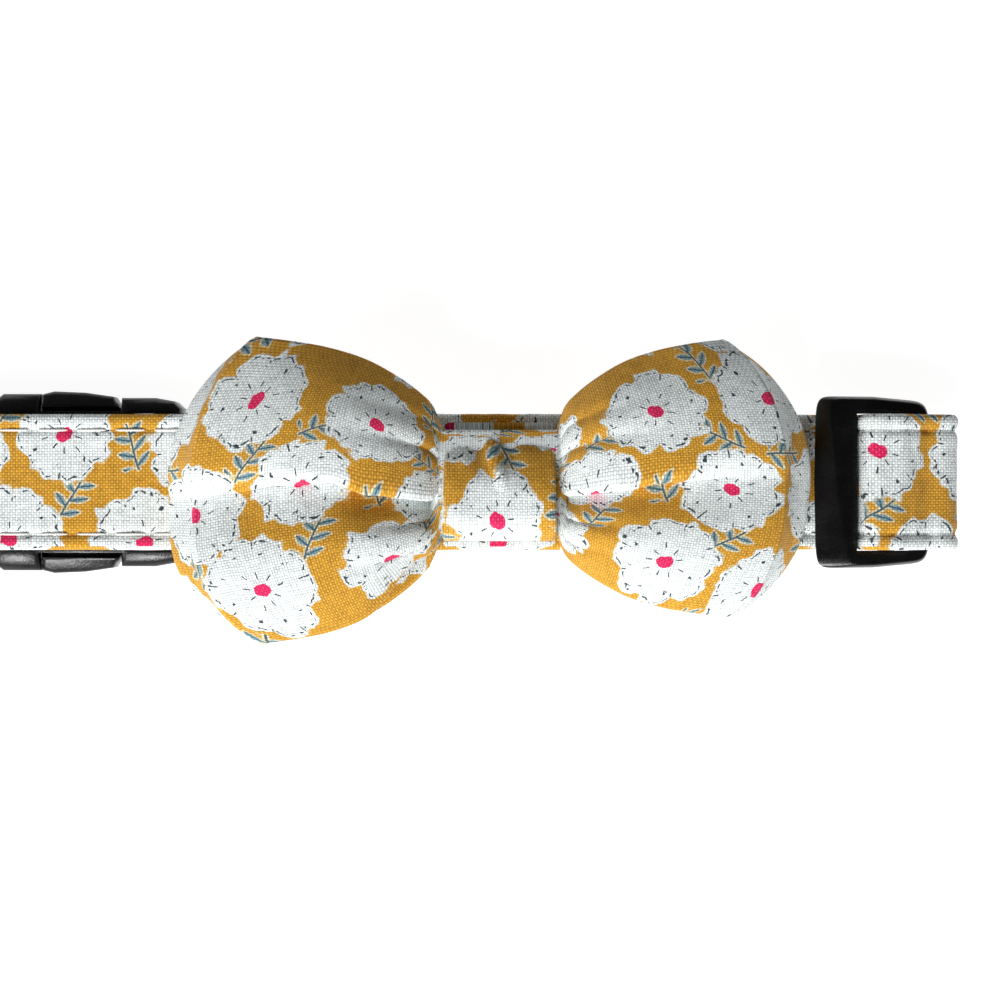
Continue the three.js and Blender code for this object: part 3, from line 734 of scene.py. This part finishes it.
def foldAt(side, along):  # the middle fold's place, depth, overhang and lower slope
    rows = bow["foldLine"][side]
    k, t = rowAt(rows, along)
    return [a + (b - a) * smooth(t) for a, b in zip(rows[k][1:], rows[k + 1][1:])]


def creaseAt(wing, v):  # how far out the pressed crease lies
    corner = wing["cornerTop"] if v > 0 else wing["cornerBottom"]
    return corner + (wing["crease"] - corner) * (1 - v * v) ** 0.75


def spreadAt(wing, along, v):  # half the wing's width
    edge = wing["top"] if v > 0 else wing["bottom"]
    return waistHalf + (edge - waistHalf) * stationAt(along, 1)


def frontPoint(wing, side, along, v):
    crease, spread = creaseAt(wing, v), spreadAt(wing, along, v)
    height, droop = stationAt(along, 2), stationAt(along, 3)
    line, depth, overhang, slope = foldAt(side, along)
    lip = 0.085  # the upper part hangs over the fold
    y = v * spread + line * (1 - v * v) - overhang * 2.33 * (v / lip) * bump(v, lip)
    above = 0.036 + 0.07 * smooth((along - 0.4) / 0.5)
    valley = depth * bump(v, above if v > 0 else slope / spread)
    if side < 0 and v < 0:  # the lower edge tucks in beside the knot
        y += bow["tuck"] * bump(along - 0.18, 0.14) * smooth((-v - 0.6) / 0.4)
    share = height * (1 - droop * abs(v) ** 3)
    rays = 0.0
    for place, width, deep, reach in bow["creases"][side]:
        ray = bump(v - place * (1 - 0.35 * along), width * (0.7 + 1.1 * along))
        rays -= deep * ray * smooth(along / 0.05) * smooth(1 - along / reach)
    seed = Vector((along * 3.2, v * 2.2, 5.0 if side > 0 else 9.0))
    soft = 0.030 * noise.noise(seed) * smooth(along / 0.1) * smooth((1 - along) / 0.1)
    z = bowFloor + (share + rays + soft) * (bow["rise"] - bow["cadWall"]) - valley
    inward = 0.30 * depth * smooth((along - 0.8) / 0.2) * bump(v, 0.3)
    return Vector((bowX + side * (waistEnd + (crease - waistEnd) * along - inward), strapY + y, z))


def stripPoint(wing, side, turn, v):  # the wing's end, from the crease down
    top = frontPoint(wing, side, 1.0, v)
    bulge = wing["strip"] * (1 - v * v) ** 0.6
    belly = 0.80 * smooth(turn / 0.75) + 0.25 * math.sin(math.pi * turn)
    out = bulge * (belly - 0.25 * smooth((turn - 0.7) / 0.3))
    down = 1 - turn - 0.06 * math.sin(2 * math.pi * turn)
    wave = 0.25 * noise.noise(Vector((v * 3.0, turn * 1.5, 3.0 * side))) * math.sin(math.pi * turn)
    y = strapY + (top.y - strapY) * (1 - 0.03 * turn)
    return Vector((top.x + side * (out + wave), y, bowFloor + (top.z - bowFloor) * down))


def backPoint(wing, side, along, v):  # along counts down from the strip to the knot
    flatY = v * spreadAt(wing, along, v)
    last = stripPoint(wing, side, 1.0, v)
    x = waistEnd + (abs(last.x - bowX) - waistEnd) * along
    y = flatY + (last.y - strapY - flatY) * smooth((along - 0.6) / 0.4)
    lift = 0.04 * smooth(1 - along / 0.15) * bow["rise"]
    return Vector((bowX + side * x, strapY + y * (1 - 0.02 * (1 - along)), bowFloor + lift))


def waistPoint(x, front, v):  # inside the knot
    room = knot["height"] / 2 - knot["wall"] - knot["gap"] - bow["cadWall"] / 2
    lift = room if front else -room
    pinch = (room - 0.75 * bow["cadWall"]) * abs(v) ** 2.4 * (-1 if front else 1)
    return Vector((bowX + x, strapY + v * waistHalf, bowBase + knot["height"] / 2 + lift + pinch))


def wingLine(wing, side, v):  # from the knot out over the front, round the strip and back
    front = [frontPoint(wing, side, k / bow["front"], v) for k in range(bow["front"])]
    front[0] = waistPoint(side * waistEnd, True, v)
    for k in range(1, 4):  # meets the waist without a step
        share = k / 4
        front[k] = front[k].lerp(front[0] + (front[4] - front[0]) * share, 0.6 * (1 - share))
    strip = [stripPoint(wing, side, k / bow["strip"], v) for k in range(bow["strip"])]
    back = [backPoint(wing, side, 1 - k / bow["back"], v) for k in range(bow["back"])]
    end = waistPoint(side * waistEnd, False, v)
    back[-1] = back[-1].lerp(end, 0.5)
    return front + strip + back + [end]


def bowLine(v):  # one closed line of cloth, from the middle out over the left wing and back
    inside = [waistEnd * k / bow["waist"] for k in range(bow["waist"])]
    left = [waistPoint(-x, True, v) for x in inside] + wingLine(bow["left"], -1, v)
    left += [waistPoint(-x, False, v) for x in reversed(inside)]
    right = [waistPoint(x, True, v) for x in inside[1:]] + wingLine(bow["right"], 1, v)
    right += [waistPoint(x, False, v) for x in reversed(inside[1:])]
    return left + list(reversed(right))


def makeBow():
    rows = bow["rows"]
    spots = [2 * k / rows - 1 for k in range(rows + 1)]
    spots = [s - 0.6 * s * bump(s, 0.16) for s in spots]  # closer together at the fold
    grid = [bowLine(v) for v in spots]
    centre = rows // 2
    sampled = [grid[centre + shift] for shift in (-30, 30, -18, 18)]
    reach = [0.0]  # cloth length along the loop, evened over a few rows
    for c in range(len(grid[0])):
        d = (c + 1) % len(grid[0])
        reach.append(reach[-1] + sum((row[d] - row[c]).length for row in sampled) / len(sampled))
    cutX, cutY = bow["cut"]

    def flats(r, c, out):
        return -reach[c] + cutX, spots[r] * bow["width"] / 2 + out + cutY

    return clothShell("bowCloth", grid, flats, bow["wall"])


bowPiece = makeBow()
print("bow made")


# Knot
def makeKnot():
    half, wall = knot["width"] / 2, knot["wall"]
    middleHalf, low, high = half - wall / 2, bowBase + wall / 2, bowBase + knot["height"] - wall / 2
    radius = 0.42 * knot["height"] - wall / 2
    ring = []
    for cy, cz, first in (
        (-middleHalf + radius, low + radius, 180), (middleHalf - radius, low + radius, 270),
        (middleHalf - radius, high - radius, 0), (-middleHalf + radius, high - radius, 90),
    ):
        for k in range(13):
            angle = math.radians(first + 90 * k / 12)
            ring.append((cy + radius * math.cos(angle), cz + radius * math.sin(angle)))
    around, step = evenly(ring + ring[:1], knot["columns"])
    grid = []
    for r in range(knot["rows"] + 1):
        u = 2 * r / knot["rows"] - 1
        line = []
        for y, z in around[:-1]:
            top = smooth(((z - low) / (high - low) - 0.35) / 0.5)
            crown = 1.2 - (0.046 * (y + 3.5) ** 2 + 0.16 * max(0.0, y - 4.4) ** 2) * top
            folds = -0.35 * bump(y - 5.0 - 0.8 * u, 0.9) * top  # the one that lies across
            for height, place, lean, width, start, span in knot["folds"]:
                folds += height * bump(u - place + lean * y, width) * smooth((y - start) / span) * top
            soft = 0.28 * noise.noise(Vector((u * 2.3, y * 0.32, z * 0.25)))
            lift = crown + folds + soft - 0.35 * abs(u) ** 5
            waist = 1 - 0.02 * top * (1 - abs(y) / half)
            grow = 1 + 0.02 * math.copysign(1, -y) * (abs(y) / half)
            x = u * (knot["length"] - wall) / 2 * waist * grow
            line.append(Vector((bowX + x, strapY + y, z + max(lift, knot["lowest"]) * top)))
        grid.append(line[::-1])
    cutX, cutY = knot["cut"]

    def flats(r, c, out):
        return (2 * r / knot["rows"] - 1) * knot["length"] / 2 + out + cutX, cutY - c * step

    return clothShell("knotCloth", grid, flats, wall)


knotPiece = makeKnot()
print("knot made")


# Plastic pieces
weld = 0.02 * mm  # points nearer than this are one


@contextmanager
def editing(piece):  # the piece's mesh, opened for changes and written back
    mesh = bmesh.new()
    mesh.from_mesh(piece.data)
    yield mesh
    mesh.to_mesh(piece.data)
    mesh.free()


def loftedPlate(name, loops):  # closed loops from the lowest to the highest, with both ends filled
    size = len(loops[0])
    points = [p for loop in loops for p in loop]
    faces = []
    for k in range(len(loops) - 1):
        for i in range(size):
            j = (i + 1) % size
            faces.append((k * size + i, k * size + j, (k + 1) * size + j, (k + 1) * size + i))
    faces.append(tuple(reversed(range(size))))
    faces.append(tuple((len(loops) - 1) * size + i for i in range(size)))
    return meshObject(name, points, faces, plasticSkin)


def applied(piece):  # its modifiers become its mesh
    mesh = bpy.data.meshes.new_from_object(piece.evaluated_get(bpy.context.evaluated_depsgraph_get()))
    piece.modifiers.clear()
    old = piece.data
    piece.data = mesh
    mesh.name = old.name
    bpy.data.meshes.remove(old)


def cut(piece, low, high):  # takes a box out
    points = [(x, y, z) for x in (low[0], high[0]) for y in (low[1], high[1]) for z in (low[2], high[2])]
    faces = [(0, 1, 3, 2), (4, 6, 7, 5), (0, 4, 5, 1), (2, 3, 7, 6), (0, 2, 6, 4), (1, 5, 7, 3)]
    tool = meshObject("cutter", points, faces, plasticSkin)
    modifier = piece.modifiers.new("cut", "BOOLEAN")
    modifier.operation = "DIFFERENCE"
    modifier.solver = "EXACT"
    modifier.object = tool
    applied(piece)
    bpy.data.objects.remove(tool)


def rounded(piece, width, limit):  # rounds the edges that turn more than limit, in degrees
    with editing(piece) as mesh:
        bmesh.ops.remove_doubles(mesh, verts=mesh.verts, dist=weld)
        bmesh.ops.dissolve_limit(mesh, angle_limit=math.radians(2), verts=mesh.verts, edges=mesh.edges)
    modifier = piece.modifiers.new("edges", "BEVEL")
    modifier.width = width * mm
    modifier.segments = 3
    modifier.limit_method = "ANGLE"
    modifier.angle_limit = math.radians(limit)
    applied(piece)
    with editing(piece) as mesh:
        bmesh.ops.triangulate(mesh, faces=[f for f in mesh.faces if len(f.verts) > 4])
    piece.data.polygons.foreach_set("use_smooth", [True] * len(piece.data.polygons))
    piece.data.set_sharp_from_angle(angle=math.radians(38))


def sliderLoop(inset, chamfer, level):  # the slider's outline, drawn in, with the near side drawn in further
    half = slider["length"] / 2
    wide = strap["width"] / 2 + slider["room"] + slider["rail"]
    loop = []
    for k in range(slider["points"]):
        angle = 2 * math.pi * k / slider["points"]
        c, s = math.cos(angle), math.sin(angle)
        power = 0.20 if c > 0 else 0.15
        x = half * math.copysign(abs(c) ** power, c)
        narrow = 0.65 * smooth((x + half * 0.2) / (1.2 * half))
        y = (wide - narrow) * math.copysign(abs(s) ** power, s)
        x += (-0.35 if c < 0 else 0.15) * (1 - (y / wide) ** 2) * abs(x) / half
        x -= math.copysign(inset, x) * min(1, abs(x) / half * 1.02)
        y -= math.copysign(inset, y) * min(1, abs(y) / wide * 1.02)
        if c < 0:
            x += chamfer * (2.65 - 0.125 * y) * smooth(abs(x) / half)
        loop.append((x, y, level))
    return loop


def makeSlider():
    half = slider["thick"] / 2
    piece = loftedPlate("sliderShape", [
        sliderLoop(0.55, 0, -half), sliderLoop(0.2, 0, -half + 0.2), sliderLoop(0.0, 0, -half + 0.65),
        sliderLoop(0.0, 0, -0.25), sliderLoop(0.06, 0.25, 0.11), sliderLoop(0.20, 0.62, 0.65),
        sliderLoop(0.40, 0.9, half - 0.12), sliderLoop(0.55, 1.0, half)])
    inside = strap["width"] / 2 + strap["slotRoom"]
    through = 3
    farSlotEnd = farSlotStart + slider["farSlot"]
    cut(piece, (nearSlotStart, -inside, -through), (centreStart, inside, through))
    cut(piece, (farSlotStart, -inside, -through), (farSlotEnd, inside, through))
    cut(piece, (nearSlotStart, -inside - 0.5, half - slider["recess"]), (farSlotEnd - 0.4, inside + 0.5, through))
    rounded(piece, slider["rounding"], 24)
    place = Matrix.Translation((slider["middle"] * mm, strapY * mm, slider["level"] * mm))
    piece.data.transform(place @ Matrix.Rotation(slider["tilt"], 4, "Y"))
    return piece


def dressedCopy(node, name):  # the frame's own shape with soft moulded edges
    source = next(o for o in bpy.data.objects if o.name == node or o.name.endswith(node))
    piece = placed(name, source.data.copy())
    piece.data.materials.clear()
    piece.data.materials.append(plasticSkin)
    wide, middle = strap["width"] / 2, buckle["thick"] / 2
    with editing(piece) as mesh:
        bmesh.ops.remove_doubles(mesh, verts=mesh.verts, dist=weld)
        for vertex in mesh.verts:  # the strap's windows fit it closely
            off = vertex.co.y / mm - strapY
            if abs(abs(off) - wide - buckle["room"]) < 0.03:
                vertex.co.y = (strapY + math.copysign(wide + strap["slotRoom"], off)) * mm
        for side in (-1, 1):  # the long sides fall away in a curve
            for step in buckle["sideCuts"]:
                bmesh.ops.bisect_plane(mesh, geom=mesh.verts[:] + mesh.edges[:] + mesh.faces[:],
                                       plane_co=(0, (strapY + side * (wide + step)) * mm, 0), plane_no=(0, 1, 0))
        for vertex in mesh.verts:
            out = max(0.0, (abs(vertex.co.y / mm - strapY) - wide - 0.2) / buckle["sideWidth"])
            share = 1 - buckle["sideFall"] * min(out, 1.1) ** 1.5
            vertex.co.z = (middle + (vertex.co.z / mm - middle) * share) * mm
    rounded(piece, buckle["rounding"], 33)
    return piece


sliderPiece = makeSlider()
femalePiece = dressedCopy("buckle_female", "femaleHalf")
malePiece = dressedCopy("buckle_male", "maleHalf")
print("slider and buckle made")

# Every piece rides on the one body and stands for its node
for piece, node, slot in (
    (strapPiece, "collar_strap", "printed_cotton"), (bowPiece, "bow_loop", "printed_cotton"),
    (knotPiece, "bow_knot", "printed_cotton"), (sliderPiece, "slider", "black_plastic"),
    (femalePiece, "buckle_female", "black_plastic"), (malePiece, "buckle_male", "black_plastic"),
):
    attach(piece, "root")
    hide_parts(node)
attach(stitchPiece, "root")

# Floor, light and camera: metres, watts and pixels
stage = {
    "floor": 1.6, "floorBase": 0.35, "floorGlow": 0.93, "world": 0.48, "zenith": 0.015,
    "key": {"place": (-0.36, -1.04, 0.94), "size": (0.66, 0.44), "power": 26.5},
    "side": {"place": (-0.55, -0.22, 0.36), "size": (0.2, 0.2), "power": 1.1},
    "scale": 6.8, "cameraHeight": 0.38, "frame": 1000, "strapPixel": (499.5, 482.0), "sensor": 36,
}


def makeFloor():
    half, level = stage["floor"] / 2 / mm, -0.02
    material, _ = newMaterial("paleFloor", (0.95, 0.95, 0.95))
    fillShader(material, {
        "Base Color": (*[stage["floorBase"]] * 3, 1), "Roughness": 0.9,
        "Emission Color": (1, 1, 1, 1), "Emission Strength": stage["floorGlow"]})
    corners = [(-half, -half, level), (half, -half, level), (half, half, level), (-half, half, level)]
    meshObject("floor", corners, [(0, 1, 2, 3)], material)


def makeLight(name, centre):
    given = stage[name]
    lamp = bpy.data.lights.new(name, "AREA")
    lamp.shape = "RECTANGLE"
    lamp.size, lamp.size_y = given["size"]
    lamp.energy = given["power"]
    made = placed(name, lamp)
    x, y, z = given["place"]
    made.location = (centre[0] + x, centre[1] + y, z)
    made.rotation_euler = (Vector(centre) - made.location).to_track_quat("-Z", "Y").to_euler()


def makeStage():
    makeFloor()
    centre = (bowX * mm, strapY * mm, 0.01)
    makeLight("key", centre)
    makeLight("side", centre)
    world = bpy.data.worlds.new("studio")
    world.use_nodes = True
    tree = world.node_tree
    _, back, up = Sock(tree, None).node("ShaderNodeTexCoord").parts()  # darker overhead and behind
    glow = stage["zenith"] + stage["world"] * (1.0 - up * up) * (0.62 - 0.38 * back)
    tree.links.new(glow.out, tree.nodes["Background"].inputs["Strength"])
    tree.nodes["Background"].inputs["Color"].default_value = (1, 1, 1, 1)
    bpy.context.scene.world = world
    bpy.context.scene.view_settings.view_transform = "Standard"


def makeCamera():
    lens = bpy.data.cameras.new("camera")
    camera = placed("camera", lens)
    level = (frontLevel + strap["thick"] / 2) * mm
    perPixel = mm / stage["scale"]
    half = stage["frame"] / 2
    x = bowX * mm + (half - stage["strapPixel"][0]) * perPixel
    y = strapY * mm + (stage["strapPixel"][1] - half) * perPixel
    camera.location = (x, y, level + stage["cameraHeight"])
    lens.sensor_width = stage["sensor"]
    lens.lens = stage["sensor"] * stage["cameraHeight"] / (stage["frame"] * perPixel)
    lens.clip_start = 0.01
    bpy.context.scene.camera = camera


makeStage()
makeCamera()
print("stage made")
